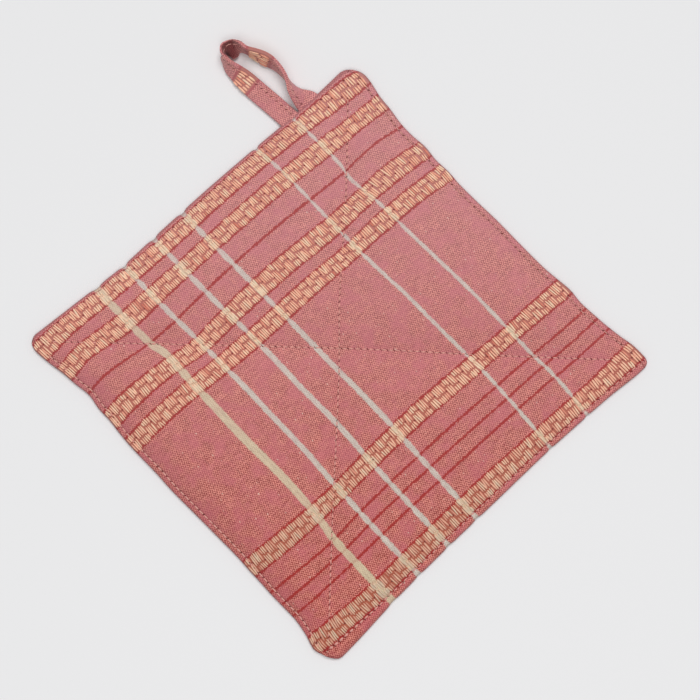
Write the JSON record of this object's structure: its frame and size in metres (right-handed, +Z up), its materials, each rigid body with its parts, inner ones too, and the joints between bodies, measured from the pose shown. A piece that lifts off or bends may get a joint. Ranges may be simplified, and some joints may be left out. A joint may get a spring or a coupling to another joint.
{
  "type": "pot holder",
  "caption": "Square quilted cloth pot holder in woven check, with a sewn tape hanging loop near one corner.",
  "frame": {"origin": "middle of the footprint on the surface that the pot holder lies on", "axes": "+Z up out of the seen face; +Y from the pad towards the side that carries the loop; +X along that side, towards the corner that the loop is near"},
  "size_m": [0.2078, 0.2472, 0.01],
  "materials": {
    "pad_cloth": "woven cotton, matt",
    "loop_cloth": "woven cotton tape, matt"
  },
  "bodies": {
    "root": {"pad": "pad_cloth", "hanging_loop": "loop_cloth"}
  },
  "joints": []
}
